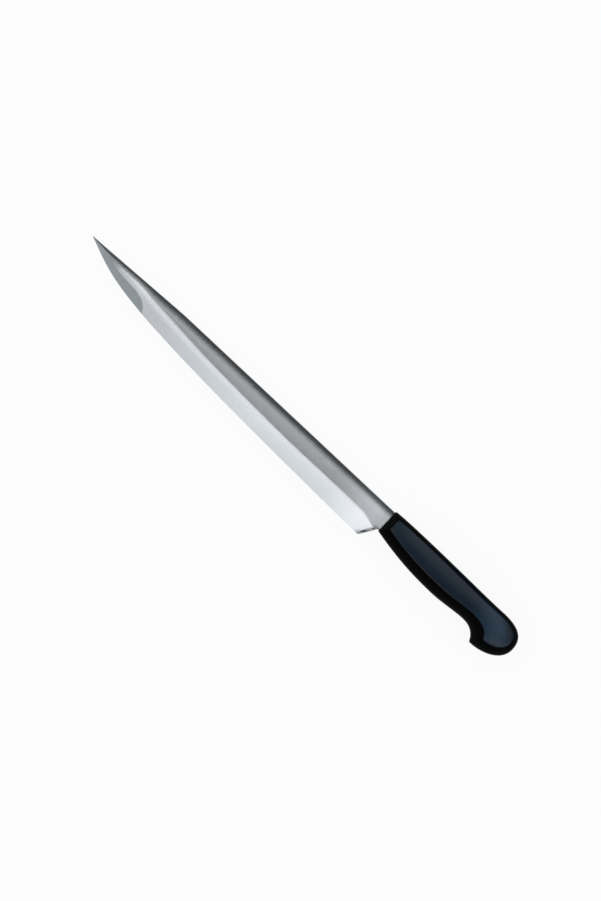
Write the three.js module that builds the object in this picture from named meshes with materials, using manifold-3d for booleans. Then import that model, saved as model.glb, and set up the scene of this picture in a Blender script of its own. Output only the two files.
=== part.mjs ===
// Long filleting and slicing knife: a ground steel blade with its tang, and the handle moulded over the tang.
// Millimetres, +Z up. The knife lies on its side: the tip points to -X, the back of the blade to +Y.
// The origin lies on the flat underside of the handle, at the middle of the grip.
import * as THREE from "three";
import { mergeVertices } from "three/addons/utils/BufferGeometryUtils.js";
import Module from "manifold-3d";

// Blade outline. Lengths run from the front of the handle, heights from the centre line of the tang.
const bladeLength = 300;
const backHeight = 9.25; // the back of the blade at the handle
const backRise = 0.8; // the back climbs this much up to the start of the point
const pointLength = 95; // the stretch over which the back drops to the tip
const pointDrop = 3.1; // how far it drops there
const pointRounding = 0.2; // softens the corner between the two straights of the back
const tipHeight = 0.3; // the tip is not quite sharp
const heelDepth = 21.1; // the cutting edge at the heel
const heelSetback = 9.3; // from the handle to the heel corner
const heelLean = 33; // degrees that the heel cut leans towards the handle
const heelRadius = 1.3; // at the heel corner
const neckDepth = 8.4; // the lower side of the neck between heel and handle
const neckRadius = 1.5; // in the corner between heel cut and neck
const edgeLift = 5.8; // the edge rises this much from the heel to the belly
const bellyLength = 34.5; // from the tip back to where the belly turns
const tipAngle = 21.2; // degrees between the edge and the long axis, at the tip
const tipReach = 38.7; // how far the edge keeps to that angle

// Blade grind
const bladeThickness = 2.5; // at the handle
const tipThickness = 1.6; // the taper's thickness at the tip
const bevelWidth = 13.2; // from the edge to the grind line
const bevelGain = 1.3; // the bevel widens by this much towards the handle
const bevelGainStart = 105; // from the handle to where it starts to widen
const bevelGainLength = 65; // over which it widens
const bevelShare = 0.78; // of the blade's height, where the blade is too low for the full bevel
const bevelRounding = 0.5; // softens the grind line where it leaves its full width
const plungeLength = 18; // over which the grind line drops to the heel
const plungeDrop = 3.6;
const backCrown = 0.36; // the faces fall in by this much towards the back
const backCrownWidth = 6;
const backCrownTurn = 3.5; // how late they fall in: 2 would be a plain arc
const backRadius = 0.6; // on both corners of the back
const landShare = 0.85; // of the flat above the grind line, the most that the crown takes
const crownShare = 0.34; // of the half thickness, the most that the crown takes
const roundShare = 0.7; // of the half thickness, the most that a corner of the back takes
const edgeBevelWidth = 0.6; // the sharpened edge
const edgeBevelThickness = 0.2; // the blade just behind the sharpened edge
const sharpenedShare = 0.3; // of the bevel and the half thickness, the most that the sharpened edge takes
const tipFacetLength = 64; // the facet ground along the belly, from the tip
const tipFacetFade = 16; // over which the facet runs out into the edge
const tipFacetShare = 0.44; // of the blade's height
const tipFacetSwell = 0.05; // how far the facet's upper line stands proud of the plain bevel
const pointSlope = 0.12; // half thickness per height where the point closes
const heelLand = 0.8; // flat left in the middle of the heel cut between its two chamfers

// Tang
const tangLength = 96; // inside the handle
const tangRoot = 4; // how far the tang's plate runs into the blade
const tangRelief = 0.1; // its faces lie this much below the blade's
const tangFrontHeight = 12.5;
const tangEndHeight = 9;
const tangHoleDiameter = 6;
const tangHoleSetback = 28; // of one hole from the front of the handle, of the other from the tang's end

// Handle outline
const handleLength = 131;
const handleThickness = 18;
const noseTop = 10.3;
const noseBottom = 9.1;
const noseCorner = 1.4;
const crestX = 20; // highest point of the back of the handle
const crestY = 10.75;
const bellyX = 60; // lowest point of the palm swell
const bellyY = 15.95;
const waistSetback = 42; // from the butt to the finger recess in front of the beak
const waistY = 13.95;
const beakSetback = 27.1; // from the butt to the tip of the beak
const beakY = 23.3;
const beakRadius = 1.6; // on that tip
const beakFront = -65; // degrees from the long axis, of the beak's front side
const beakUnder = -3; // and of its underside
const buttY = 5.9; // height below the centre line where the butt reaches furthest
const shoulderSetback = 23; // from the butt to where its round meets the back
const shoulderY = 9.45;

// Rims between the handle's outline and its flat side panels
const noseRim = 5.6;
const noseRimBottom = 6.8;
const bellyRim = 7.8;
const waistRim = 8;
const waistRimShift = 3;
const beakRim = 6.2;
const beakRimHeight = 8.6;
const buttRim = 6;
const buttRimHeight = 2.2;
const backRim = 2.8;

// Fits
const tangClearance = 0.3; // between the tang and the moulded plastic
const shoulderGap = 0.3; // between the neck and the front of the handle

// Fineness
const edgeSteps = 56;
const arcSteps = 12;
const rimSteps = 7;
const backSteps = 3;
const crownSteps = 4;

const steel = new THREE.MeshStandardMaterial({ color: 0xb9bdc2, roughness: 0.32, metalness: 1 });
const blackPlastic = new THREE.MeshStandardMaterial({ color: 0x15181c, roughness: 0.45, metalness: 0 });

const wasm = await Module();
wasm.setup();

const degrees = THREE.MathUtils.degToRad;
const lerp = THREE.MathUtils.lerp;

// The lower of two values, rounded off where they cross.
function softMin(a, b, rounding) {
  return (a + b - Math.hypot(a - b, rounding)) / 2;
}

// A closed geometry as a solid that can be joined and cut.
function solidOf(geometry) {
  const bare = geometry.clone();
  bare.deleteAttribute("normal");
  bare.deleteAttribute("uv");
  const merged = mergeVertices(bare, 1e-4);
  const vertProperties = new Float32Array(merged.attributes.position.array);
  const triVerts = new Uint32Array(merged.index.array);
  return new wasm.Manifold(new wasm.Mesh({ numProp: 3, vertProperties, triVerts }));
}

function geometryOf(solid) {
  const mesh = solid.getMesh();
  const geometry = new THREE.BufferGeometry();
  geometry.setAttribute("position", new THREE.BufferAttribute(mesh.vertProperties, 3));
  geometry.setIndex(new THREE.BufferAttribute(mesh.triVerts, 1));
  geometry.computeVertexNormals();
  return geometry;
}

// A skin over rings with the same number of points, closed at both ends. Each ring turns counter-clockwise as
// seen from the end of the row. flat(point) gives the two coordinates that the end caps are cut in.
function loft(rings, flat) {
  const count = rings[0].length;
  const positions = rings.flat().flatMap((point) => [point.x, point.y, point.z]);
  const index = [];
  for (let ring = 0; ring + 1 < rings.length; ring++) {
    for (let i = 0; i < count; i++) {
      const a = ring * count + i;
      const b = ring * count + ((i + 1) % count);
      index.push(a, b, b + count, a, b + count, a + count);
    }
  }
  const last = (rings.length - 1) * count;
  for (const [a, b, c] of THREE.ShapeUtils.triangulateShape(rings[0].map(flat), [])) index.push(a, c, b);
  for (const [a, b, c] of THREE.ShapeUtils.triangulateShape(rings.at(-1).map(flat), [])) {
    index.push(last + a, last + b, last + c);
  }
  const geometry = new THREE.BufferGeometry();
  geometry.setAttribute("position", new THREE.Float32BufferAttribute(positions, 3));
  geometry.setIndex(index);
  return geometry;
}

// A plate of one outline, centred on the middle plane of the knife.
function plate(shape, thickness) {
  const geometry = new THREE.ExtrudeGeometry(shape, {
    depth: thickness,
    bevelEnabled: false,
    curveSegments: arcSteps,
  });
  return solidOf(geometry.translate(0, 0, -thickness / 2));
}

// The back of the blade: two straights that meet where the point begins.
function backY(x) {
  const straight = bladeLength - pointLength;
  const climb = backHeight + (backRise * -x) / straight;
  const drop = backHeight + backRise - (pointDrop * (-x - straight)) / pointLength;
  return softMin(climb, drop, pointRounding);
}

const heel = new THREE.Vector2(-heelSetback, -heelDepth);
const tip = new THREE.Vector2(-bladeLength, backY(-bladeLength) - tipHeight);
const edge = new THREE.CubicBezierCurve(
  heel,
  new THREE.Vector2(bellyLength - bladeLength, edgeLift - heelDepth),
  new THREE.Vector2(
    tip.x + tipReach * Math.cos(degrees(tipAngle)),
    tip.y - tipReach * Math.sin(degrees(tipAngle)),
  ),
  tip,
);

// One cross-section of the blade, from the back down one face to the edge and up the other.
function bladeSection(x, edgeY) {
  const back = backY(x);
  const height = back - edgeY;
  const taper = lerp(bladeThickness, tipThickness, -x / bladeLength) / 2;
  const half = Math.min(taper, height * pointSlope);

  const plunge = plungeDrop * THREE.MathUtils.smoothstep(x, -plungeLength, 0);
  const gain = bevelGain * THREE.MathUtils.smoothstep(x, -bevelGainStart, bevelGainLength - bevelGainStart);
  const bevel = softMin(bevelWidth + gain, height * bevelShare, bevelRounding) - plunge;
  const fromTip = x + bladeLength;
  const fade = THREE.MathUtils.clamp((fromTip - tipFacetLength) / tipFacetFade + 1, 0, 1);
  const sharpened = Math.min(edgeBevelWidth, bevel * sharpenedShare);
  const line = Math.max(sharpened, tipFacetShare * height * Math.sqrt(1 - fade * fade));
  const behindEdge = Math.min(edgeBevelThickness / 2, half * sharpenedShare);
  const plainBevel = lerp(behindEdge, half, (line - sharpened) / (bevel - sharpened));
  const swell = tipFacetSwell * (1 - fade) * (half / taper);
  const lineHalf = plainBevel + swell;

  const crownWidth = Math.min(backCrownWidth, landShare * (height - bevel));
  const crown = Math.min(backCrown, half * crownShare);
  const backHalf = half - crown;
  const radius = Math.min(backRadius, crownWidth / 2, backHalf * roundShare);
  const face = [[back, backHalf - radius]];
  for (let step = 1; step <= backSteps; step++) {
    const turn = (step / backSteps) * (Math.PI / 2);
    face.push([back - radius * (1 - Math.cos(turn)), backHalf - radius * (1 - Math.sin(turn))]);
  }
  for (let step = 1; step <= crownSteps; step++) {
    const rest = 1 - step / crownSteps;
    face.push([lerp(back - crownWidth, back - radius, rest), half - crown * rest ** backCrownTurn]);
  }
  face.push([edgeY + bevel, half], [edgeY + line, lineHalf]);

  const oneSide = face.map(([y, z]) => new THREE.Vector3(x, y, z));
  const cuttingEdge = new THREE.Vector3(x, edgeY, 0);
  const otherSide = face.map(([y, z]) => new THREE.Vector3(x, y, -z)).reverse();
  return [...oneSide, cuttingEdge, ...otherSide];
}

// The waste below the neck and behind the heel, set into the blade by inset.
function heelWaste(inset) {
  const lean = degrees(heelLean);
  const alongCut = new THREE.Vector2(Math.sin(lean), Math.cos(lean));
  const corner = heel.clone().add(new THREE.Vector2(-Math.cos(lean), Math.sin(lean)).multiplyScalar(inset));
  const neckY = inset - neckDepth;
  const neck = corner.clone().addScaledVector(alongCut, (neckY - corner.y) / alongCut.y);
  const cornerRun = heelRadius / Math.tan((Math.PI / 2 + lean) / 2);
  const neckRun = neckRadius * Math.tan((Math.PI / 2 - lean) / 2);
  const below = -2 * heelDepth;
  const beyond = heelSetback;
  const outline = new THREE.Path();
  outline.moveTo(corner.x - cornerRun, below);
  outline.lineTo(beyond, below);
  outline.lineTo(beyond, neckY);
  outline.lineTo(neck.x + neckRun, neckY);
  outline.quadraticCurveTo(neck.x, neckY, neck.x - neckRun * alongCut.x, neckY - neckRun * alongCut.y);
  outline.lineTo(corner.x + cornerRun * alongCut.x, corner.y + cornerRun * alongCut.y);
  outline.quadraticCurveTo(corner.x, corner.y, corner.x - cornerRun, corner.y);
  return outline.getPoints(arcSteps).slice(0, -1);
}

function heelTool() {
  const flare = bladeThickness;
  const levels = [
    [-heelLand / 2 - flare, flare],
    [-heelLand / 2, 0],
    [heelLand / 2, 0],
    [heelLand / 2 + flare, flare],
  ];
  const rings = levels.map(([z, inset]) => heelWaste(inset).map((p) => new THREE.Vector3(p.x, p.y, z)));
  return solidOf(loft(rings, (p) => new THREE.Vector2(p.x, p.y)));
}

const tangThickness = bladeThickness - 2 * tangRelief;

// The tang's outline, larger all round by grow, with its holes smaller by as much.
function tangShape(grow) {
  const front = tangFrontHeight / 2 + grow;
  const end = tangEndHeight / 2 + grow;
  const endCentre = tangLength - tangEndHeight / 2;
  const shape = new THREE.Shape();
  shape.moveTo(-tangRoot, front);
  shape.lineTo(-tangRoot, -front);
  shape.lineTo(endCentre, -end);
  shape.absarc(endCentre, 0, end, -Math.PI / 2, Math.PI / 2, false);
  shape.lineTo(-tangRoot, front);
  for (const centre of [tangHoleSetback, tangLength - tangHoleSetback]) {
    const hole = new THREE.Path();
    hole.absarc(centre, 0, tangHoleDiameter / 2 - grow, 0, 2 * Math.PI, true);
    shape.holes.push(hole);
  }
  return shape;
}

function makeBlade() {
  const stations = [[-shoulderGap, -heelDepth]];
  for (let step = 0; step <= edgeSteps; step++) stations.push(edge.getPoint(step / edgeSteps).toArray());
  const rings = stations.map(([x, edgeY]) => bladeSection(x, edgeY)).reverse();
  const ground = solidOf(loft(rings, (p) => new THREE.Vector2(p.y, p.z)));
  const tang = plate(tangShape(0), tangThickness);
  return geometryOf(ground.subtract(heelTool()).add(tang));
}

const waistX = handleLength - waistSetback;
const beakX = handleLength - beakSetback;
const beakRun = beakRadius * Math.tan(degrees(beakUnder - beakFront) / 2);

// A point at a distance from the sharp tip that the beak's sides would have.
function fromBeak(distance, heading) {
  return [beakX + distance * Math.cos(degrees(heading)), -beakY + distance * Math.sin(degrees(heading))];
}

// The turns of the handle's outline, counter-clockwise. heading holds the outline's direction in degrees
// before and after the turn. reach holds how far the curve keeps to each, as shares of the distance to the
// next turn. rim shifts the turn to the edge of the flat side panel. wall is the share of the half thickness
// that stands straight, and square is how full the rest of the rim is. meets is the rim's turn in degrees
// where it meets the panel: 90 runs into it smoothly, and less leaves a crease.
const outlineTurns = [
  {
    at: [0, noseTop - noseCorner],
    heading: [-90, -90],
    reach: [0.4, 0.3],
    rim: [noseRim, -backRim],
    wall: 0.45,
    square: 1.3,
    meets: 88,
  },
  {
    at: [0, -noseBottom],
    heading: [-90, -12.7],
    reach: [0.3, 0.34],
    rim: [noseRim, noseRimBottom],
    wall: 0.4,
    square: 1.5,
    meets: 80,
  },
  {
    at: [bellyX, -bellyY],
    heading: [0, 0],
    reach: [0.36, 0.38],
    rim: [0, bellyRim],
    wall: 0.15,
    square: 2.1,
    meets: 66,
  },
  {
    at: [waistX, -waistY],
    heading: [0, 0],
    reach: [0.28, 0.45],
    rim: [waistRimShift, waistRim],
    wall: 0.15,
    square: 2.1,
    meets: 66,
  },
  {
    at: fromBeak(-beakRun, beakFront),
    heading: [beakFront, beakFront],
    reach: [0.34, 0.36],
    rim: [beakRim, beakRimHeight],
    wall: 0.2,
    square: 2.1,
    meets: 68,
  },
  {
    at: fromBeak(beakRun, beakUnder),
    heading: [beakUnder, beakUnder],
    reach: [0.36, 0.28],
    rim: [beakRim, beakRimHeight],
    wall: 0.2,
    square: 2.1,
    meets: 68,
  },
  {
    at: [handleLength, -buttY],
    heading: [90, 90],
    reach: [0.42, 0.37],
    rim: [-buttRim, buttRimHeight],
    wall: 0.4,
    square: 2.2,
    meets: 88,
  },
  {
    at: [handleLength - shoulderSetback, shoulderY],
    heading: [180.8, 180.8],
    reach: [0.6, 0.23],
    rim: [0, -backRim],
    wall: 0.5,
    square: 2.2,
    meets: 80,
  },
  {
    at: [crestX, crestY],
    heading: [180, 180],
    reach: [0.48, 0.48],
    rim: [noseRim / 2, -backRim],
    wall: 0.5,
    square: 2.2,
    meets: 75,
  },
  {
    at: [noseCorner, noseTop],
    heading: [184, 184],
    reach: [0.22, 0.4],
    rim: [noseRim, -backRim],
    wall: 0.5,
    square: 1.5,
    meets: 80,
  },
];

// A curve that leaves one turn and enters the next, along the given headings.
function curveBetween(from, to, turn, next) {
  const chord = from.distanceTo(to);
  const out = new THREE.Vector2(1, 0).rotateAround(new THREE.Vector2(), degrees(turn.heading[1]));
  const into = new THREE.Vector2(1, 0).rotateAround(new THREE.Vector2(), degrees(next.heading[0]));
  return new THREE.CubicBezierCurve(
    from,
    from.clone().addScaledVector(out, chord * turn.reach[1]),
    to.clone().addScaledVector(into, -chord * next.reach[0]),
    to,
  );
}

// Points along the handle's outline, each with its partner on the panel's and the shape of the rim there.
function handleRim() {
  const points = [];
  outlineTurns.forEach((turn, i) => {
    const next = outlineTurns[(i + 1) % outlineTurns.length];
    const from = new THREE.Vector2(...turn.at);
    const to = new THREE.Vector2(...next.at);
    const panelFrom = from.clone().add(new THREE.Vector2(...turn.rim));
    const panelTo = to.clone().add(new THREE.Vector2(...next.rim));
    const outer = curveBetween(from, to, turn, next);
    const inner = curveBetween(panelFrom, panelTo, turn, next);
    for (let step = 0; step < arcSteps; step++) {
      const t = step / arcSteps;
      points.push({
        outer: outer.getPoint(t),
        inner: inner.getPoint(t),
        wall: lerp(turn.wall, next.wall, t),
        square: lerp(turn.square, next.square, t),
        meets: lerp(turn.meets, next.meets, t),
      });
    }
  });
  return points;
}

// One level line round the handle, from the middle plane at level 0 to the edge of the side panel at level 1.
function handleRing(rim, step, side) {
  const half = handleThickness / 2;
  return rim.map(({ outer, inner, wall, square, meets }) => {
    const last = degrees(meets);
    const turn = last * (Math.max(0, step - 1) / (rimSteps - 1));
    const inward = (1 - Math.cos(turn) ** (2 / square)) / (1 - Math.cos(last) ** (2 / square));
    const rise = (Math.sin(turn) / Math.sin(last)) ** (2 / square);
    const level = step > 0 ? lerp(wall, 1, rise) : 0;
    const place = outer.clone().lerp(inner, inward);
    return new THREE.Vector3(place.x, place.y, side * half * level);
  });
}

function makeHandle() {
  const rim = handleRim();
  const rings = [];
  for (let step = rimSteps; step > 0; step--) rings.push(handleRing(rim, step, -1));
  for (let step = 0; step <= rimSteps; step++) rings.push(handleRing(rim, step, 1));
  const body = solidOf(loft(rings, (p) => new THREE.Vector2(p.x, p.y)));
  const pocket = plate(tangShape(tangClearance), tangThickness + 2 * tangClearance);
  return geometryOf(body.subtract(pocket));
}

function named(name, geometry, material) {
  const mesh = new THREE.Mesh(geometry, material);
  mesh.name = name;
  return mesh;
}

const knife = new THREE.Group();
knife.add(named("blade", makeBlade(), steel));
knife.add(named("handle", makeHandle(), blackPlastic));
knife.position.set(-handleLength / 2, 0, handleThickness / 2);

const part = new THREE.Group();
part.add(knife);

export default part;
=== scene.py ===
import math

import bmesh
import bpy
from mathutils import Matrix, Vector


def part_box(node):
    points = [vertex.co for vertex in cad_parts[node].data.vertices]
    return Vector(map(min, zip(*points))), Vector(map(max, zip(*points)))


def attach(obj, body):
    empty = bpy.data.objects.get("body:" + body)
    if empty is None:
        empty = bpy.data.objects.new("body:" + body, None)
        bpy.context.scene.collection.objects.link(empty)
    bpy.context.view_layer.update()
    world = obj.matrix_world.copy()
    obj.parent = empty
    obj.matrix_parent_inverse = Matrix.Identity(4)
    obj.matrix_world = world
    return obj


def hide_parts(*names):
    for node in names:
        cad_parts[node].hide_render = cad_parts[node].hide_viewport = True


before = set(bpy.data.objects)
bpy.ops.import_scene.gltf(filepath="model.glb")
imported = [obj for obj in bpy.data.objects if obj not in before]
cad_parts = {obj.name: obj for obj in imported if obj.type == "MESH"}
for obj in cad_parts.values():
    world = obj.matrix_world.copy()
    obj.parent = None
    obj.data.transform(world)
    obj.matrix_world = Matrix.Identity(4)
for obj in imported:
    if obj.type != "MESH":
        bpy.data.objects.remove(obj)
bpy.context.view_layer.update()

# Shared sizes, in millimetres from the front of the handle, the line of the tang and the middle plane
mm = 0.001
weldGap = 0.001 * mm                                  # points closer than this become one
bumpDepth = 0.05 * mm                                 # of fine marks and grain at full strength
bladeLow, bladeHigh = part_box("blade")
handleLow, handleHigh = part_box("handle")
handleFront = handleLow.x
middlePlane = (handleLow.z + handleHigh.z) / 2
bladeLength = (handleFront - bladeLow.x) / mm
bladeThickness = (bladeHigh.z - bladeLow.z) / mm
handleLength = (handleHigh.x - handleLow.x) / mm
handleThickness = (handleHigh.z - handleLow.z) / mm
print("knife: blade %.0f mm, handle %.0f mm" % (bladeLength, handleLength))


def inFrame(x, y, z):
    return Vector((handleFront + x * mm, y * mm, middlePlane + z * mm))


def between(a, b, share):
    return a + (b - a) * share


def clamp(value, low=0.0, high=1.0):
    return max(low, min(high, value))


def easeStep(value):
    value = clamp(value)
    return value * value * (3 - 2 * value)


def ramp(value, start, end):                          # eases from 0 at start to 1 at end
    return easeStep((value - start) / (end - start))


def softMin(a, b, rounding):                          # the lower one, rounded where the two cross
    return (a + b - math.hypot(a - b, rounding)) / 2


def heading(degrees):
    return Vector((math.cos(math.radians(degrees)), math.sin(math.radians(degrees))))


def bezier(a, b, c, d, t):
    rest = 1 - t
    return a * rest**3 + b * (3 * rest * rest * t) + c * (3 * rest * t * t) + d * t**3


# Meshes

def shadeCorners(piece, name, shades):                # one value a point, kept on the faces' corners
    mesh = piece.data
    layer = mesh.attributes.new(name, "FLOAT", "CORNER")
    layer.data.foreach_set("value", [shades[loop.vertex_index] for loop in mesh.loops])


def skin(name, rings, materials, stripFinish=None, capFinish=0, ends="face"):   # quads over rings
    count = len(rings[0])
    points = [inFrame(*point) for ring in rings for point in ring]
    faces, finishes = [], []
    for ring in range(len(rings) - 1):
        for i in range(count):
            a, b = ring * count + i, ring * count + (i + 1) % count
            faces.append((a, b, b + count, a + count))
            finishes.append(stripFinish[ring][i] if stripFinish else capFinish)
    caps = [tuple(range(count))] if ends == "face" else []
    if ends == "rungs":                               # between the two sides of the ring
        caps = [(i, i + 1, count - 2 - i, count - 1 - i) for i in range(count // 2 - 1)]
        caps.append((count // 2 - 1, count // 2, count // 2 + 1))
    for first in (0, len(points) - count):
        faces += [tuple(first + i for i in cap) for cap in caps]
        finishes += [capFinish] * len(caps)
    mesh = bpy.data.meshes.new(name)
    mesh.from_pydata(points, [], faces)
    for material in materials:
        mesh.materials.append(material)
    mesh.polygons.foreach_set("material_index", finishes)
    work = bmesh.new()
    work.from_mesh(mesh)
    bmesh.ops.recalc_face_normals(work, faces=work.faces)
    bmesh.ops.triangulate(work, faces=[face for face in work.faces if len(face.verts) > 4])
    work.to_mesh(mesh)
    work.free()
    piece = bpy.data.objects.new(name, mesh)
    bpy.context.scene.collection.objects.link(piece)
    return piece


def weld(piece):                                      # closes a seam where points lie on each other
    work = bmesh.new()
    work.from_mesh(piece.data)
    bmesh.ops.remove_doubles(work, verts=work.verts, dist=weldGap)
    bmesh.ops.recalc_face_normals(work, faces=work.faces)
    work.to_mesh(piece.data)
    work.free()


def carve(piece, tool, operation):                    # joins or cuts, and takes the tool away
    cut = piece.modifiers.new(operation.lower(), "BOOLEAN")
    cut.operation = operation
    cut.solver = "EXACT"
    cut.object = tool
    seen = piece.evaluated_get(bpy.context.evaluated_depsgraph_get())
    carved = bpy.data.meshes.new_from_object(seen)
    piece.modifiers.remove(cut)
    piece.data = carved
    bpy.data.objects.remove(tool)


def finishPiece(piece, node, creaseAngle):
    mesh = piece.data
    mesh.polygons.foreach_set("use_smooth", [True] * len(mesh.polygons))
    mesh.set_sharp_from_angle(angle=math.radians(creaseAngle))
    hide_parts(node)
    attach(piece, "root")


# Shader nodes

class Wire:                                           # a socket that can stand in a sum
    def __init__(self, tree, socket=None):
        self.tree = tree
        self.socket = socket

    def node(self, kind, settings, sockets, output=0):
        made = self.tree.nodes.new(kind)
        for name, value in settings.items():
            if name == "stops":
                stops = made.color_ramp.elements
                stops[0].position, stops[0].color = value[0]
                stops[1].position, stops[1].color = value[-1]
                for place, colour in value[1:-1]:
                    stops.new(place).color = colour
            else:
                setattr(made, name, value)
        for name, value in sockets.items():
            if isinstance(value, Wire):
                self.tree.links.new(value.socket, made.inputs[name])
            else:
                made.inputs[name].default_value = value
        return Wire(self.tree, made.outputs[output])

    def math(self, operation, a, b):
        return self.node("ShaderNodeMath", {"operation": operation}, {0: a, 1: b})

    def __add__(self, other):
        return self.math("ADD", self, other)

    def __radd__(self, other):
        return self.math("ADD", other, self)

    def __sub__(self, other):
        return self.math("SUBTRACT", self, other)

    def __rsub__(self, other):
        return self.math("SUBTRACT", other, self)

    def __mul__(self, other):
        return self.math("MULTIPLY", self, other)

    def __rmul__(self, other):
        return self.math("MULTIPLY", other, self)

    def colours(self, a, b):                          # from a to b as this value goes from 0 to 1
        sockets = {0: self, 6: a, 7: b}
        return self.node("ShaderNodeMix", {"data_type": "RGBA"}, sockets, 2)

    def swing(self, amount):                          # a noise from 0 to 1, made to swing about 0
        return (self - 0.5) * amount

    def scaled(self, factor):                         # a colour times a value
        sockets = {"Vector": self, "Scale": factor}
        return self.node("ShaderNodeVectorMath", {"operation": "SCALE"}, sockets)

    def surface(self):
        output = self.tree.nodes.new("ShaderNodeOutputMaterial")
        self.tree.links.new(self.socket, output.inputs["Surface"])


def newMaterial(name):
    material = bpy.data.materials.new(name)
    material.use_nodes = True
    material.node_tree.nodes.clear()
    return material, Wire(material.node_tree)


def stretchedNoise(start, where, pitch, detail=2.0, roughness=0.6):   # pitch along X, Y and Z in mm
    scale = [1 / (size * mm) for size in pitch]
    moved = start.node("ShaderNodeMapping", {}, {"Vector": where, "Scale": scale})
    sockets = {"Vector": moved, "Scale": 1.0, "Detail": detail, "Roughness": roughness}
    return start.node("ShaderNodeTexNoise", {}, sockets)


def meshValue(start, name):                           # what shadeCorners has put on the mesh
    return start.node("ShaderNodeAttribute", {"attribute_name": name}, {}, "Fac")


def fineBump(start, height, strength):
    sockets = {"Strength": strength, "Distance": bumpDepth, "Height": height}
    return start.node("ShaderNodeBump", {}, sockets)


# The blade: a long flat ground down to the edge, a facet along the belly, a slanted heel

bladeShape = {
    "backHeight": 9.25,                               # the back at the handle, above the line of the tang
    "backRise": 0.9,                                  # it climbs this much to where the point begins
    "pointLength": 88, "pointDrop": 3.2, "pointRounding": 0.2,
    "tipHeight": 0.3,
    "heelDepth": 21.1, "heelSetback": 9.3, "heelLean": 33, "heelRadius": 1.3,
    "heelLand": 0.3, "heelRound": 0.3,                # the heel cut's flat, and the round on both its edges
    "roundEnd": 70, "roundStep": 10,                  # degrees of that round
    "toolOver": 2,                                    # how far the cutting tool stands out of the faces
    "heelTaper": 2.0, "heelThin": 0.2,                # the faces fall away towards the cut
    "taperTop": 1.6,                                  # which ends from so many tapers below the neck
    "heelBand": 2.9, "heelDark": 0.72,                # painted shade: a dark band along the cut,
    "cornerDark": 0.78, "cornerReach": 5,             # round its corner
    "spotPlace": (-3, -9.1), "spotDark": 0.6, "spotReach": 3.0,  # and where the grind line ends
    "neckDepth": 8.4, "neckRadius": 1.5,
    "handleGap": 0.02,                                # left between the neck and the handle
    "edgeLift": 5.8, "bellyLength": 34.5, "tipAngle": 21.2, "tipReach": 38.7,    # the curve of the edge
    "tipThickness": 1.6, "pointSlope": 0.12,
    "bevelWidth": 13.35, "bevelShare": 0.80, "bevelRounding": 0.5,
    "pointShare": 0.64, "pointReach": 65,             # at the very point the back keeps more of the height
    "bevelGain": 1.9, "gainStart": 105, "gainEnd": 20,           # the bevel widens towards the handle
    "humpRise": 0.95, "humpSetback": 218, "humpReach": 45,       # and a little where the point begins
    "bevelSwell": 0.012, "swellTurn": 7.0,            # the grinds are not quite flat,
    "flatDish": 0.009,                                # by these shares of their width
    "faceLean": 0.011, "leanFrom": 51, "leanTo": 12,             # by the handle the flat leans to the edge
    "plungeLength": 19.5, "plungeDrop": 4.2,          # the grind line drops to the heel
    "crownWidth": 6, "crownSlope": 0.06, "crownTurn": 3.0, "landShare": 0.95,
    "pointGain": 1.2, "pointTurn": 1.8, "crownFrom": 40, "crownFade": 34,        # more of it near the point
    "backRadius": 0.6, "roundShare": 0.7,
    "sharpWidth": 0.3, "sharpThickness": 0.06, "sharpShare": 0.3,        # the sharpened edge
    "facetLength": 64, "facetFade": 16, "facetShare": 0.44, "facetSwell": 0.05,
    "mattLength": 39, "mattFade": 18,                 # the point is left matt
    "wornStart": 123, "wornEnd": 233, "wornMatt": 0.35, "wornShare": 0.45,       # the belly is whetted
    "shadeStart": 11, "shadeEnd": 2, "shadeShare": 0.7,          # painted shade right by the handle takes back part of the painted highlight
    "crease": 0.12,                                   # half the width of the line between two grinds,
    "creaseParts": (3, 9),                            # at most a third of the flat, a ninth of the facet
    "creaseAngle": 25,
    "halvings": 40, "leanTries": 3,                   # steps that find a place on a curve
    "columns": 200, "leanStart": 45, "leanEnd": 13, "leanColumns": 20, "heelColumns": 20,
    "roundRows": 5, "crownRows": 8, "flatRows": 12, "bevelRows": 14, "facetRows": 3,
}
flatFinish, bevelFinish, facetFinish, backFinish = range(4)
heelCorner = Vector((-bladeShape["heelSetback"], -bladeShape["heelDepth"]))
leanSlope = math.tan(math.radians(bladeShape["heelLean"]))


def backLine(x):
    shape = bladeShape
    straight = bladeLength - shape["pointLength"]
    climb = shape["backHeight"] - shape["backRise"] * x / straight
    top = shape["backHeight"] + shape["backRise"]
    drop = top + shape["pointDrop"] * (x + straight) / shape["pointLength"]
    return softMin(climb, drop, shape["pointRounding"])


def edgePoint(share):                                 # along the cutting edge, from the tip to the heel
    shape = bladeShape
    belly = Vector((shape["bellyLength"] - bladeLength, shape["edgeLift"] - shape["heelDepth"]))
    tip = Vector((-bladeLength, backLine(-bladeLength) - shape["tipHeight"]))
    point = tip + heading(-shape["tipAngle"]) * shape["tipReach"]
    return bezier(tip, point, belly, heelCorner, share)


def edgeLine(x):
    low, high = 0.0, 1.0
    for step in range(bladeShape["halvings"]):
        share = (low + high) / 2
        if edgePoint(share).x < x:
            low = share
        else:
            high = share
    return edgePoint(low).y


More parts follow.
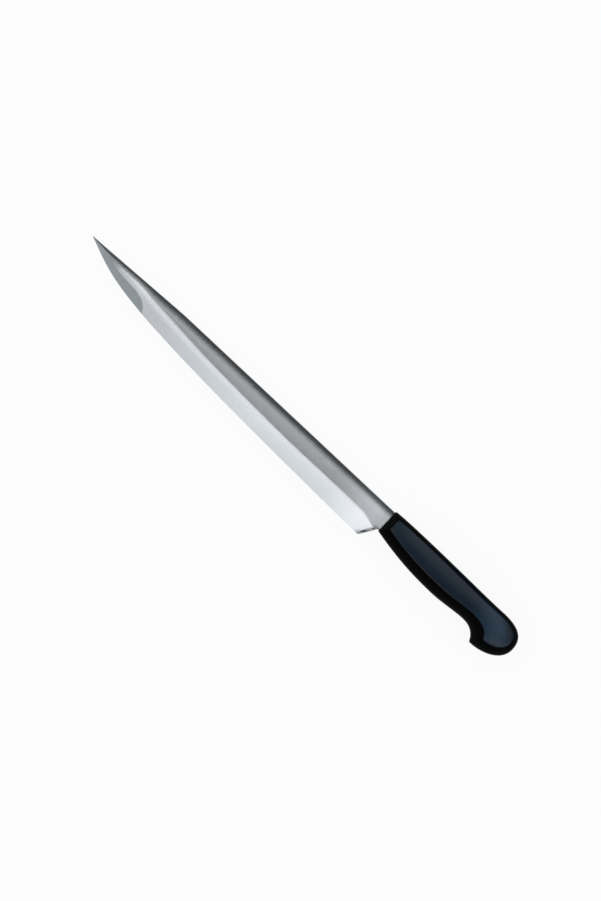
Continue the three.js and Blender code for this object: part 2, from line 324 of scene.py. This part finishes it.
def bladeFace(x):                                     # rows down one face: height, half thickness, finish
    shape = bladeShape
    back, edge = backLine(x), edgeLine(x)
    height = back - edge
    taper = between(bladeThickness, shape["tipThickness"], -x / bladeLength) / 2
    half = min(taper, height * shape["pointSlope"])
    plunge = shape["plungeDrop"] * easeStep(1 + x / shape["plungeLength"])
    gain = shape["bevelGain"] * ramp(x, -shape["gainStart"], -shape["gainEnd"])
    hump = shape["humpRise"] * easeStep(1 - abs(x + shape["humpSetback"]) / shape["humpReach"])
    fromPoint = easeStep((x + bladeLength) / shape["pointReach"])
    most = height * between(shape["pointShare"], shape["bevelShare"], fromPoint)
    bevel = softMin(shape["bevelWidth"] + gain, most, shape["bevelRounding"]) + hump - plunge
    lean = shape["faceLean"] * nearHandle(x)
    grind = half - lean * (height - bevel)            # half the thickness at the grind line
    fade = clamp((x + bladeLength - shape["facetLength"]) / shape["facetFade"] + 1)
    sharp = min(shape["sharpWidth"], bevel * shape["sharpShare"])
    facet = shape["facetShare"] * height * math.sqrt(1 - fade * fade)
    line = max(sharp, facet)
    behindEdge = min(shape["sharpThickness"] / 2, half * shape["sharpShare"])
    plain = between(behindEdge, grind, (line - sharp) / (bevel - sharp))
    lineHalf = plain + shape["facetSwell"] * (1 - fade) * half / taper
    crownWidth = min(shape["crownWidth"], shape["landShare"] * (height - bevel))
    point = nearPoint(x, shape["crownFrom"], shape["crownFade"])
    crown = crownWidth * shape["crownSlope"] * (1 + shape["pointGain"] * point)
    crownTurn = between(shape["crownTurn"], shape["pointTurn"], point)
    backHalf = half - crown
    radius = min(shape["backRadius"], crownWidth / 2, backHalf * shape["roundShare"])
    flatParts, lineParts = shape["creaseParts"]
    crease = min(shape["crease"], (height - bevel - crownWidth) / flatParts, line / lineParts)

    rows = []
    for step in range(shape["roundRows"] + 1):
        turn = step / shape["roundRows"] * math.pi / 2
        finish = backFinish if step < shape["roundRows"] else flatFinish
        y = back - radius * (1 - math.cos(turn))
        rows.append((y, backHalf - radius * (1 - math.sin(turn)), finish))
    for step in range(1, shape["crownRows"] + 1):
        rest = 1 - step / shape["crownRows"]
        y = between(back - crownWidth, back - radius, rest)
        rows.append((y, half - lean * (back - y) - crown * rest ** crownTurn, flatFinish))
    for step in range(1, shape["flatRows"]):
        share = step / shape["flatRows"]
        dish = shape["flatDish"] * (height - bevel - crownWidth) * share * (1 - share) * half / taper
        y = between(back - crownWidth, edge + bevel + crease, share)
        rows.append((y, half - lean * (back - y) - dish, flatFinish))
    rows.append((edge + bevel + crease, grind + lean * crease, flatFinish))
    rows.append((edge + bevel, grind, bevelFinish))
    edgeFinish = facetFinish if facet > sharp else bevelFinish
    turn = shape["swellTurn"]
    for step in range(shape["bevelRows"] + 1):
        share = between(crease / (bevel - line), 1 - crease / (bevel - line), step / shape["bevelRows"])
        swell = (1 - math.exp(-turn * share)) / (1 - math.exp(-turn)) - share
        swell *= shape["bevelSwell"] * (bevel - line) * half / taper
        y = edge + between(bevel, line, share)
        rows.append((y, between(grind, lineHalf, share) + swell, bevelFinish))
    for step in range(shape["facetRows"]):
        share = step / shape["facetRows"]
        rows.append((edge + line * (1 - share), lineHalf * (1 - share), edgeFinish))
    rows.append((edge, 0.0, edgeFinish))
    return rows


def leaning(x):                                       # columns lean over until they lie along the heel cut
    return ramp(x, -bladeShape["leanStart"], -bladeShape["leanEnd"])


def bladeColumn(x):                                   # points down one face, and the finish below each
    lean = leaning(x) * leanSlope
    rows = bladeFace(x)
    points = []
    for row in range(len(rows)):
        at = x
        for tries in range(bladeShape["leanTries"] if lean else 1):
            y, z, finish = bladeFace(at)[row] if lean else rows[row]
            rise = min(y, -bladeShape["neckDepth"]) - heelCorner.y
            at = x + lean * max(0.0, rise)
        points.append((at, y, z * heelFall(at, y)))
    return points, [finish for y, z, finish in rows]


def heelShare(x, y, reach, top):                      # 0 at the heel cut, 1 a reach away and by the neck
    shape = bladeShape
    place = Vector((x, y))
    inward = heading(180 - shape["heelLean"])
    away = (place - heelCorner).dot(inward)
    radius = shape["heelRadius"]
    centre = heelCorner + Vector((-radius / math.tan(math.radians(90 + shape["heelLean"]) / 2), radius))
    offset = place - centre
    if offset.y < 0 and offset.x > 0 and offset.x * inward.y < offset.y * inward.x:
        away = radius - offset.length                 # round the corner of the heel
    fade = easeStep((y + shape["neckDepth"]) / shape["heelTaper"] + top)
    return between(clamp(away / reach), 1, fade)


def heelFall(x, y):                                   # share of the thickness left there
    rest = 1 - heelShare(x, y, bladeShape["heelTaper"], bladeShape["taperTop"])
    return 1 - (1 - bladeShape["heelThin"]) * rest


def spotShare(x, y, centre, reach):                   # 1 at a spot, 0 away from it
    return easeStep(1 - (Vector((x, y)) - Vector(centre)).length / reach)


def paintedHeelShade(x, y):                                  # how far shade is painted into the steel's colour there
    shape = bladeShape
    band = (1 - heelShare(x, y, shape["heelBand"], 0) ** 2) * shape["heelDark"]
    spot = spotShare(x, y, shape["spotPlace"], shape["spotReach"]) * shape["spotDark"]
    tip = spotShare(x, y, heelCorner, shape["cornerReach"]) * shape["cornerDark"]
    return max(band, spot, tip)


def nearPoint(x, length, fade):                       # 1 at the tip, 0 at this length from it
    return easeStep((length - x - bladeLength) / fade)


def nearHandle(x):
    return ramp(x, -bladeShape["leanFrom"], -bladeShape["leanTo"])


def paintedLightByHandle(x):                                    # painted highlight: the steel is lightened a little before the handle, with painted shade right by it
    shape = bladeShape
    return nearHandle(x) * (1 - shape["shadeShare"] * ramp(x, -shape["shadeStart"], -shape["shadeEnd"]))


def mattShare(x, y):                                  # how far the steel is dulled there
    shape = bladeShape
    along = clamp((x + shape["wornStart"]) / (shape["wornStart"] - shape["wornEnd"]))
    down = easeStep((edgeLine(x) + shape["bevelWidth"] - y) / (shape["bevelWidth"] * shape["wornShare"]))
    return max(nearPoint(x, shape["mattLength"], shape["mattFade"]), along * down * shape["wornMatt"])


def bladeStations():
    shape = bladeShape
    low, high = -shape["leanStart"], -shape["leanEnd"]
    places = [edgePoint(step / shape["columns"]).x for step in range(shape["columns"])]
    places = [x for x in places if x < low]
    places += [between(low, high, step / shape["leanColumns"]) for step in range(shape["leanColumns"])]
    handle = -shape["handleGap"] - leanSlope * (shape["heelDepth"] - shape["neckDepth"])
    columns = shape["heelColumns"]
    return places + [between(high, handle, step / columns) for step in range(columns + 1)]


def bladeBody(steel):
    rings, strips = [], []
    for x in bladeStations():
        oneSide, finishes = bladeColumn(x)
        rings.append(oneSide + [(x, y, -z) for x, y, z in reversed(oneSide[:-1])])
        strips.append(finishes[:-1] + finishes[-2::-1] + [backFinish])
    piece = skin("knife_blade", rings, steel, strips, backFinish, "rungs")
    places = [place for ring in rings for place in ring]
    # painted shade along the heel cut and round its corner
    shadeCorners(piece, "heel", [paintedHeelShade(x, y) for x, y, z in places])
    # painted highlight on the steel near the handle, with painted shade right by it
    shadeCorners(piece, "polish", [paintedLightByHandle(x) for x, y, z in places])
    shadeCorners(piece, "matt", [mattShare(x, y) for x, y, z in places])
    return piece


def corner(before, at, after, run, steps=8):          # a rounded corner of an outline
    start = at + (before - at).normalized() * run
    end = at + (after - at).normalized() * run
    shares = [step / steps for step in range(steps + 1)]
    return [between(between(start, at, share), between(at, end, share), share) for share in shares]


def heelWaste(inset):                                 # outline of what is ground away behind the heel
    shape = bladeShape
    lean = shape["heelLean"]
    cut = heading(90 - lean)
    heel = heelCorner + heading(180 - lean) * inset
    neckHeight = inset - shape["neckDepth"]
    neck = heel + cut * ((neckHeight - heel.y) / cut.y)
    beyond, below = shape["heelSetback"], -2 * shape["heelDepth"]
    heelRun = shape["heelRadius"] / math.tan(math.radians(90 + lean) / 2)
    neckRun = shape["neckRadius"] * math.tan(math.radians(90 - lean) / 2)
    edge = heel - Vector((heelRun, 0))
    outline = [Vector((edge.x, below)), Vector((beyond, below)), Vector((beyond, neckHeight))]
    outline += corner(Vector((beyond, neckHeight)), neck, heel, neckRun)
    outline += corner(neck, heel, edge, heelRun)
    return outline


def heelTool(steel):
    shape = bladeShape
    land, radius = shape["heelLand"] / 2, shape["heelRound"]
    turns = [math.radians(degrees) for degrees in range(0, shape["roundEnd"] + 1, shape["roundStep"])]
    levels = [(land + radius * math.sin(turn), radius * (1 - math.cos(turn))) for turn in turns]
    levels.append((levels[-1][0] + shape["toolOver"], levels[-1][1]))
    levels = [(-z, inset) for z, inset in reversed(levels)] + levels
    rings = [[(p.x, p.y, z) for p in heelWaste(inset)] for z, inset in levels]
    return skin("heel_tool", rings, steel, capFinish=backFinish)


# The tang, hidden in the handle

tangShape = {
    "length": 96, "root": 4, "frontHeight": 12.5, "endHeight": 9,
    "thinner": 0.5,                                   # than the blade
    "holeDiameter": 6, "holeSetback": 28, "clearance": 0.1,
    "arcStep": 15,
}


def tangPlate(grow, materials, finish):
    shape = tangShape
    step = shape["arcStep"]
    front, end = shape["frontHeight"] / 2 + grow, shape["endHeight"] / 2 + grow
    centre = shape["length"] - shape["endHeight"] / 2
    outline = [Vector((-shape["root"], front)), Vector((-shape["root"], -front))]
    outline += [Vector((centre, 0)) + heading(degrees) * end for degrees in range(-90, 91, step)]
    half = (bladeThickness - shape["thinner"]) / 2 + grow
    sides = [[(p.x, p.y, z) for p in outline] for z in (-half, half)]
    plate = skin("tang_plate", sides, materials, capFinish=finish)
    for hole in (shape["holeSetback"], shape["length"] - shape["holeSetback"]):
        radius = shape["holeDiameter"] / 2 - grow
        rim = [Vector((hole, 0)) + heading(degrees) * radius for degrees in range(0, 360, step)]
        ends = [[(p.x, p.y, z) for p in rim] for z in (-2 * half, 2 * half)]
        carve(plate, skin("tang_hole", ends, materials, capFinish=finish), "DIFFERENCE")
    return plate


# The steel's finishes

# the finishes differ in how much they take of the painted highlight near the handle
steelFinish = {
    "ground_flat": {
        "tone": (0.505, 0.53, 0.555, 1), "worn": (0.565, 0.585, 0.61, 1),
        "roughness": 0.25, "matt": 0.03, "mattTone": 0.8, "polish": 0.85,
        "marks": (1.6, 26, 40), "fineMarks": (0.22, 9, 20), "fineShade": 0.4,
        "markDepth": 0.025, "markRoughness": 0.05,
    },
    "polished_bevel": {
        "tone": (0.553, 0.582, 0.612, 1), "worn": (0.602, 0.626, 0.656, 1),
        "roughness": 0.20, "matt": 0.24, "mattTone": 0.8, "polish": 1.0,
        "marks": (3.5, 18, 40), "fineMarks": (0.18, 7, 20), "fineShade": 0.25,
        "markDepth": 0.01, "markRoughness": 0.03,
    },
    "belly_facet": {
        "tone": (0.405, 0.449, 0.470, 1), "worn": (0.445, 0.487, 0.507, 1),
        "roughness": 0.48, "matt": 0.0, "mattTone": 0.0, "polish": 0.0,
        "marks": (1.2, 10, 40), "fineMarks": (0.2, 6, 20), "fineShade": 0.4,
        "markDepth": 0.04, "markRoughness": 0.08,
    },
    "stamped_back": {
        "tone": (0.42, 0.435, 0.45, 1), "worn": (0.52, 0.535, 0.55, 1),
        "roughness": 0.36, "matt": 0.0, "mattTone": 0.0, "polish": 0.4,
        "marks": (9, 1.1, 1.1), "fineMarks": (3, 0.2, 0.2), "fineShade": 0.4,
        "markDepth": 0.05, "markRoughness": 0.10,
    },
}
steelCommon = {
    # the colours of the painted highlight near the handle, of the dulled point and of the painted shade
    # along the heel cut
    "paintedLightTone": (0.685, 0.712, 0.745, 1), "matt": (0.40, 0.418, 0.436, 1), "heel": (0.06, 0.063, 0.066, 1),
    "markDetail": 3.0, "fineShare": 0.4,
    "clouds": (38, 22, 22), "cloudShare": 0.3, "cloudRoughness": 0.03,
}


def groundSteel(name):
    finish, common = steelFinish[name], steelCommon
    material, start = newMaterial(name)
    where = start.node("ShaderNodeTexCoord", {}, {}, "Object")
    marks = stretchedNoise(start, where, finish["marks"], common["markDetail"])
    fineMarks = stretchedNoise(start, where, finish["fineMarks"])
    clouds = stretchedNoise(start, where, common["clouds"])
    streaks = marks * (1 - common["fineShare"]) + fineMarks * common["fineShare"]
    wear = streaks * (1 - common["cloudShare"]) + clouds * common["cloudShare"]
    matt = meshValue(start, "matt")
    tone = wear.colours(finish["tone"], finish["worn"])
    # painted highlight near the handle, with painted shade right by it
    tone = (meshValue(start, "polish") * finish["polish"]).colours(tone, common["paintedLightTone"])
    tone = (matt * finish["mattTone"]).colours(tone, common["matt"])
    # painted shade along the heel cut
    tone = meshValue(start, "heel").colours(tone, common["heel"])
    tone = tone.scaled(1 + fineMarks.swing(finish["fineShade"]))
    roughness = finish["roughness"] + matt * finish["matt"] + clouds.swing(common["cloudRoughness"])
    roughness = roughness + streaks.swing(finish["markRoughness"])
    shader = start.node("ShaderNodeBsdfPrincipled", {}, {
        "Base Color": tone, "Metallic": 1.0, "Roughness": roughness,
        "Normal": fineBump(start, fineMarks, finish["markDepth"]),
    })
    shader.surface()
    return material


steel = [groundSteel(name) for name in steelFinish]
blade = bladeBody(steel)
carve(blade, heelTool(steel), "DIFFERENCE")
carve(blade, tangPlate(0, steel, backFinish), "UNION")
finishPiece(blade, "blade", bladeShape["creaseAngle"])
print("blade: %d faces" % len(blade.data.polygons))


# The handle: one moulding with flat sides, a rounded belly and a beak at the butt

gripShape = {
    "noseTop": 10.3, "noseBottom": 9.1, "noseCorner": 1.4,
    "crestX": 20, "crestY": 10.75, "bellyX": 60, "bellyY": 15.95,
    "waistSetback": 42, "waistY": 13.95,
    "beakSetback": 27.1, "beakY": 23.3, "beakRadius": 1.6, "beakFront": -65, "beakUnder": -3,
    "buttY": 5.9, "shoulderSetback": 23, "shoulderY": 9.45,
    "noseRim": 5.6, "noseRimBottom": 6.8, "bellyRim": 7.8, "waistRim": 8.0, "waistRimShift": 3,
    "beakRim": 6.2, "beakRimHeight": 8.6, "buttRim": 4.8, "buttRimHeight": 2.2, "backRim": 2.8,
    "panelStart": (22, 1.5), "panelEnd": (108, -3),   # the panel's rings close on this line
    "panelRings": 9, "seamSteps": 14,
    "sink": 0.22, "sinkTurn": 1.4,                    # the panels are a little hollow
    "sinkStart": (6, 26), "sinkEnd": (126, 104),
    "roll": 0.003, "rollStart": 108, "rollEnd": 118, "rollTop": -4,     # and roll over low on the butt
    "partingHeight": 0.05, "partingWidth": 0.18,      # the fine ridge where the two mould halves met
    # where the panel takes its painted blue sheen, less of it low down
    "sheenStart": 84, "sheenEnd": 112, "sheenTop": -3, "sheenLow": -15, "sheenLoss": 0.35,
    "fadeTone": 0.15, "fadeReach": 0.6,               # painted shade darkens the panel's tone high on the butt
    "fadeTurn": 25, "fadeSpread": 75,
    "lowFade": 0.5, "lowReach": 0.2,                  # and a little along its lower edge
    "outlineSteps": 26, "rimSteps": 16, "creaseAngle": 35,
}


def gripTurns():             # place, headings, reaches, shift to the panel, wall, fullness, end angle
    shape = gripShape
    waist = (handleLength - shape["waistSetback"], -shape["waistY"])
    beak = Vector((handleLength - shape["beakSetback"], -shape["beakY"]))
    front, under = shape["beakFront"], shape["beakUnder"]
    run = shape["beakRadius"] * math.tan(math.radians(under - front) / 2)
    beakInner, beakOuter = beak - heading(front) * run, beak + heading(under) * run
    noseRim, backRim = shape["noseRim"], -shape["backRim"]
    waistRim = (shape["waistRimShift"], shape["waistRim"])
    beakRim = (shape["beakRim"], shape["beakRimHeight"])
    buttRim = (-shape["buttRim"], shape["buttRimHeight"])
    noseFront = (0, shape["noseTop"] - shape["noseCorner"])
    noseLow, noseLowRim = (0, -shape["noseBottom"]), (noseRim, shape["noseRimBottom"])
    crest = (shape["crestX"], shape["crestY"])
    noseBack = (shape["noseCorner"], shape["noseTop"])
    belly = (shape["bellyX"], -shape["bellyY"])
    butt = (handleLength, -shape["buttY"])
    shoulder = (handleLength - shape["shoulderSetback"], shape["shoulderY"])
    return [
        (noseFront, (-90, -90), (0.4, 0.3), (noseRim, backRim), 0.45, 1.3, 88),
        (noseLow, (-90, -12.7), (0.3, 0.34), noseLowRim, 0.4, 1.5, 80),
        (belly, (0, 0), (0.36, 0.38), (0, shape["bellyRim"]), 0.15, 2.1, 66),
        (waist, (0, 0), (0.28, 0.45), waistRim, 0.15, 2.1, 66),
        (beakInner, (front, front), (0.34, 0.36), beakRim, 0.2, 2.1, 68),
        (beakOuter, (under, under), (0.36, 0.28), beakRim, 0.2, 2.1, 68),
        (butt, (90, 90), (0.42, 0.37), buttRim, 0.4, 2.2, 88),
        (shoulder, (180.8, 180.8), (0.6, 0.23), (0, backRim), 0.5, 2.2, 80),
        (crest, (180, 180), (0.48, 0.48), (noseRim / 2, backRim), 0.5, 2.2, 75),
        (noseBack, (184, 184), (0.22, 0.4), (noseRim, backRim), 0.5, 1.5, 80),
    ]


def gripOutline():                                    # points round the outline, and where the panel starts
    turns = gripTurns()
    steps = gripShape["outlineSteps"]
    found = []
    for here, there in zip(turns, turns[1:] + turns[:1]):
        at, headings, reaches, shift, *form = here
        nextAt, nextHeadings, nextReaches, nextShift, *nextForm = there
        ends = [(Vector(at), Vector(nextAt))]
        ends.append((ends[0][0] + Vector(shift), ends[0][1] + Vector(nextShift)))
        for step in range(steps):
            share = step / steps
            places = []
            for start, end in ends:
                chord = (end - start).length
                leave = start + heading(headings[1]) * chord * reaches[1]
                arrive = end - heading(nextHeadings[0]) * chord * nextReaches[0]
                places.append(bezier(start, leave, arrive, end, share))
            found.append((*places, *[between(a, b, share) for a, b in zip(form, nextForm)]))
    return found


def rollOver(x, y):                                   # depth of the panel there, in half thicknesses
    shape = gripShape
    along = ramp(x, shape["rollStart"], shape["rollEnd"])
    return 2 * shape["roll"] * along * max(0.0, shape["rollTop"] - y) ** 2 / handleThickness


def gripRing(outline, share):                         # one ring of the rim, from the wall to the panel
    ring = []
    for outer, inner, wall, full, end in outline:
        top = 1 - rollOver(inner.x, inner.y)
        last = math.radians(end)
        turn = last * share
        inward = (1 - math.cos(turn) ** (2 / full)) / (1 - math.cos(last) ** (2 / full))
        rise = (math.sin(turn) / math.sin(last)) ** (2 / full)
        place = between(outer, inner, inward)
        ring.append((place.x, place.y, wall + (top - wall) * rise))
    return ring


def ridgeRing(outline):                               # the fine ridge round the middle
    proud = gripShape["partingHeight"]
    places = [between(outer, inner, -proud / (inner - outer).length) for outer, inner, *rest in outline]
    return [(place.x, place.y, 0.0) for place in places]


def panelLimits(outline):                             # the panel's lower and upper edge along the handle
    steps = gripShape["outlineSteps"]
    inner = [point[1] for point in outline]
    noseLow, beakInner, butt, noseBack = 1, 4, 6, 9   # their places in gripTurns
    return inner[noseLow * steps:beakInner * steps + 1], inner[noseBack * steps:butt * steps:-1]


def heightAt(line, x):                                # on a line of points that runs along the handle
    for a, b in zip(line, line[1:]):
        if b.x > x:
            return between(a.y, b.y, clamp((x - a.x) / (b.x - a.x)))
    return line[-1].y


def hollow(limits, x, y):                             # depth of the panel under its edge, likewise
    shape = gripShape
    low, high = [heightAt(line, x) for line in limits]
    across = clamp((2 * y - high - low) / (high - low), -1, 1)
    enter, leave = ramp(x, *shape["sinkStart"]), ramp(x, *shape["sinkEnd"])
    bowl = (1 - across * across) ** shape["sinkTurn"]
    return 2 * shape["sink"] * enter * leave * bowl / handleThickness


def panelRing(outline, share):                        # a ring of the panel, drawn in to its long middle
    start, end = Vector(gripShape["panelStart"]), Vector(gripShape["panelEnd"])
    run = end - start
    limits = panelLimits(outline)
    ring = []
    for outer, inner, *rest in outline:
        along = clamp((inner - start).dot(run) / run.length_squared)
        if share == 1:                                # the last ring's points meet in a few shared places
            along = round(along * gripShape["seamSteps"]) / gripShape["seamSteps"]
        place = between(inner, start + run * along, share)
        depth = hollow(limits, place.x, place.y) + rollOver(place.x, place.y)
        ring.append((place.x, place.y, 1 - depth))
    return ring


def panelPaintedShade(outline, share):                      # 1 on the panel, less where shade is painted into its tone
    shape = gripShape
    lost = (1 - shape["fadeTone"]) * (1 - easeStep(share / shape["fadeReach"]))
    lowLost = shape["lowFade"] * (1 - easeStep(share / shape["lowReach"]))
    shades = []
    for outer, inner, *rest in outline:
        away = inner - Vector(shape["panelEnd"])
        turn = math.degrees(math.atan2(away.y, away.x)) - shape["fadeTurn"]
        lower = clamp((inner - outer).normalized().y)
        shades.append(1 - max(lost * easeStep(1 - abs(turn) / shape["fadeSpread"]), lowLost * lower))
    return shades


def blueSheenShare(x, y):                                 # how much painted blue sheen the panel takes there
    shape = gripShape
    along = ramp(x, shape["sheenStart"], shape["sheenEnd"])
    down = ramp(y, shape["sheenTop"], shape["sheenLow"])
    return along * (1 - shape["sheenLoss"] * down)


def gripBody(plastic):
    shape = gripShape
    outline = gripOutline()
    half = handleThickness / 2
    steps = shape["panelRings"]
    plain = [0.0] * len(outline)
    wall = [[(outer.x, outer.y, shape["partingWidth"] / half) for outer, *rest in outline]]
    wall += [gripRing(outline, step / shape["rimSteps"]) for step in range(shape["rimSteps"] + 1)]
    panel = [panelRing(outline, (step + 1) / steps) for step in range(steps)]
    shades = [plain] * (len(wall) - 1) + [panelPaintedShade(outline, step / steps) for step in range(steps + 1)]
    upper = wall + panel
    rings = [[(x, y, -z * half) for x, y, z in ring] for ring in reversed(upper)]
    rings += [ridgeRing(outline)] + [[(x, y, z * half) for x, y, z in ring] for ring in upper]
    shades = shades[::-1] + [plain] + shades
    strips = [[rimPlastic] * len(outline) for ring in rings[1:]]
    for step in range(steps):
        strips[step] = strips[-1 - step] = [panelPlastic] * len(outline)
    piece = skin("knife_handle", rings, plastic, strips, ends="open")
    # 1 keeps the panel's tone, 0 takes the rim's painted-dark tone; between, painted shade fades the panel
    shadeCorners(piece, "panel", [shade for ring in shades for shade in ring])
    # painted blue sheen towards the butt
    shadeCorners(piece, "bloom", [blueSheenShare(x, y) for ring in rings for x, y, z in ring])
    weld(piece)
    return piece


plasticFinish = {
    # the rim is the same plastic as the panel; its near-black tone is painted shade where the rounded edge
    # turns from the light
    "rim_plastic_painted_dark": {
        "tone": (0.0008, 0.0009, 0.0011, 1), "pale": (0.0014, 0.0015, 0.0018, 1),
        "roughness": 0.44, "shine": 0.03,
        "grain": (0.35, 0.35, 0.35), "grainDepth": 0.12, "grainShade": 1.2,
    },
    "panel_plastic": {
        "tone": (0.0040, 0.0118, 0.0226, 1), "pale": (0.0057, 0.0156, 0.0294, 1),
        "roughness": 0.24, "shine": 0.28,
        "grain": (0.3, 0.3, 0.3), "grainDepth": 0.06, "grainShade": 1.2,
    },
}
plasticCommon = {
    "bloom": (0.0160, 0.0365, 0.0655, 1),             # painted sheen: the panel is bluer towards the butt
    "haze": (46, 15, 15), "hazeDetail": 3.0, "hazeRoughness": 0.06,
}
rimPlastic, panelPlastic = range(2)


def mouldedBlack(name):
    finish, common = plasticFinish[name], plasticCommon
    material, start = newMaterial(name)
    where = start.node("ShaderNodeTexCoord", {}, {}, "Object")
    grain = stretchedNoise(start, where, finish["grain"])
    haze = stretchedNoise(start, where, common["haze"], common["hazeDetail"])
    slate = haze.colours(finish["tone"], finish["pale"])
    # painted blue sheen towards the butt
    slate = meshValue(start, "bloom").colours(slate, common["bloom"])
    # painted shade: where the panel attribute falls, the tone goes to the rim's near-black
    tone = meshValue(start, "panel").colours(plasticFinish["rim_plastic_painted_dark"]["tone"], slate)
    shader = start.node("ShaderNodeBsdfPrincipled", {}, {
        "Base Color": tone.scaled(1 + grain.swing(finish["grainShade"])),
        "Roughness": finish["roughness"] + haze.swing(common["hazeRoughness"]),
        "Specular IOR Level": finish["shine"],
        "Normal": fineBump(start, grain, finish["grainDepth"]),
    })
    shader.surface()
    return material


plastic = [mouldedBlack(name) for name in plasticFinish]
grip = gripBody(plastic)
carve(grip, tangPlate(tangShape["clearance"], plastic, rimPlastic), "DIFFERENCE")
finishPiece(grip, "handle", gripShape["creaseAngle"])
print("handle: %d faces" % len(grip.data.polygons))


# Table, light and camera

studio = {
    "tableSize": 16.0, "tableTone": 0.95,
    "tableGlow": 0.91,                                # how much of its white the table keeps in the shade
    "wallTone": (0.97, 0.97, 0.97, 1), "wallTop": 5,             # degrees above the horizon
    "upperTop": 28, "longTone": (0.80, 0.81, 0.82, 1), "endTone": (0.20, 0.205, 0.21, 1),
    "ceilingTone": (0.015, 0.016, 0.017, 1), "ceilingStart": 57,
}
mainLamp = {"left": -1.1, "right": 0.5, "near": -0.035, "far": -0.50, "height": 2.0, "glow": 1.5}
fillLamps = {"reach": 1.7, "height": 1.3, "width": 4.0, "depth": 2.2, "left": 0.9, "right": 1.05}


def tableTop():
    half = studio["tableSize"] / 2
    mesh = bpy.data.meshes.new("table")
    corners = [(-half, -half), (half, -half), (half, half), (-half, half)]
    mesh.from_pydata([(x, y, handleLow.z) for x, y in corners], [], [(0, 1, 2, 3)])
    table = bpy.data.objects.new("table", mesh)
    bpy.context.scene.collection.objects.link(table)
    material, start = newMaterial("white_table")
    tone = studio["tableTone"]
    matt = start.node("ShaderNodeBsdfDiffuse", {}, {"Color": (tone, tone, tone, 1)})
    glow = start.node("ShaderNodeEmission", {}, {"Color": (1, 1, 1, 1), "Strength": 1.0})
    seen = start.node("ShaderNodeLightPath", {}, {}, "Is Camera Ray")
    seen = seen + start.node("ShaderNodeLightPath", {}, {}, "Is Glossy Ray")
    seen = seen + start.node("ShaderNodeLightPath", {}, {}, "Is Transmission Ray")
    mixed = start.node("ShaderNodeMixShader", {}, {0: seen * studio["tableGlow"], 1: matt, 2: glow})
    mixed.surface()
    mesh.materials.append(material)


def softBox(name, at, aim, width, depth, glow):
    lamp = bpy.data.lights.new(name, "AREA")
    lamp.shape = "RECTANGLE"
    lamp.size, lamp.size_y = width, depth
    lamp.energy = glow * math.pi * width * depth      # glow is what a mirror would show, 1 is white
    box = bpy.data.objects.new(name, lamp)
    box.location = at
    box.rotation_euler = (Vector(aim) - Vector(at)).to_track_quat("-Z", "Y").to_euler()
    bpy.context.scene.collection.objects.link(box)


def studioLight():
    lamp, fill = mainLamp, fillLamps
    x, y = (lamp["left"] + lamp["right"]) / 2, (lamp["near"] + lamp["far"]) / 2
    width, depth = lamp["right"] - lamp["left"], lamp["near"] - lamp["far"]
    softBox("mainLamp", (x, y, lamp["height"]), (x, y, 0), width, depth, lamp["glow"])
    centre = (bladeLow.x + handleHigh.x) / 2
    for name, side in (("left", -1), ("right", 1)):
        at = (centre + side * fill["reach"], 0, fill["height"])
        softBox(name + "Fill", at, (centre, 0, 0), fill["width"], fill["depth"], fill[name])
    world = bpy.data.worlds.new("studio")
    world.use_nodes = True
    start = Wire(world.node_tree)
    direction = start.node("ShaderNodeTexCoord", {}, {}, "Generated")
    rise = start.node("ShaderNodeSeparateXYZ", {}, {0: direction}, "Z")
    along = start.node("ShaderNodeSeparateXYZ", {}, {0: direction}, "X")
    walls = []
    for upper in ("longTone", "endTone"):             # the end walls are darker, behind the fill lamps
        bands = (("wallTop", "wallTone"), ("upperTop", upper), ("ceilingStart", "ceilingTone"))
        stops = [(math.sin(math.radians(studio[place])), studio[tone]) for place, tone in bands]
        walls.append(start.node("ShaderNodeValToRGB", {"stops": stops}, {0: rise}))
    room = (along * along).colours(*walls)
    world.node_tree.links.new(room.socket, world.node_tree.nodes["Background"].inputs["Color"])
    bpy.context.scene.world = world


cameraPlace = {
    "frameSize": (601, 901), "tipPixel": (93, 236), "turn": 42.9, "pixelSize": 0.7324,
    "distance": 3.0, "sensor": 36.0, "farthest": 100,
}


def photoCamera():
    place = cameraPlace
    pixel = place["pixelSize"] * mm
    right, up = heading(place["turn"]), heading(place["turn"] + 90)
    across = place["frameSize"][0] / 2 - place["tipPixel"][0]
    down = place["frameSize"][1] / 2 - place["tipPixel"][1]
    tip = inFrame(-bladeLength, backLine(-bladeLength), 0)
    centre = tip.xy + right * across * pixel - up * down * pixel
    data = bpy.data.cameras.new("photo_camera")
    data.sensor_width = place["sensor"]
    data.lens = place["sensor"] * place["distance"] / (max(place["frameSize"]) * pixel)
    data.clip_end = place["farthest"]
    camera = bpy.data.objects.new("photo_camera", data)
    camera.location = (centre.x, centre.y, tip.z + place["distance"])
    camera.rotation_euler = (0, 0, math.radians(place["turn"]))
    bpy.context.scene.collection.objects.link(camera)
    bpy.context.scene.camera = camera


tableTop()
studioLight()
photoCamera()
bpy.context.scene.view_settings.view_transform = "Standard"
print("table, lamps and camera in place")
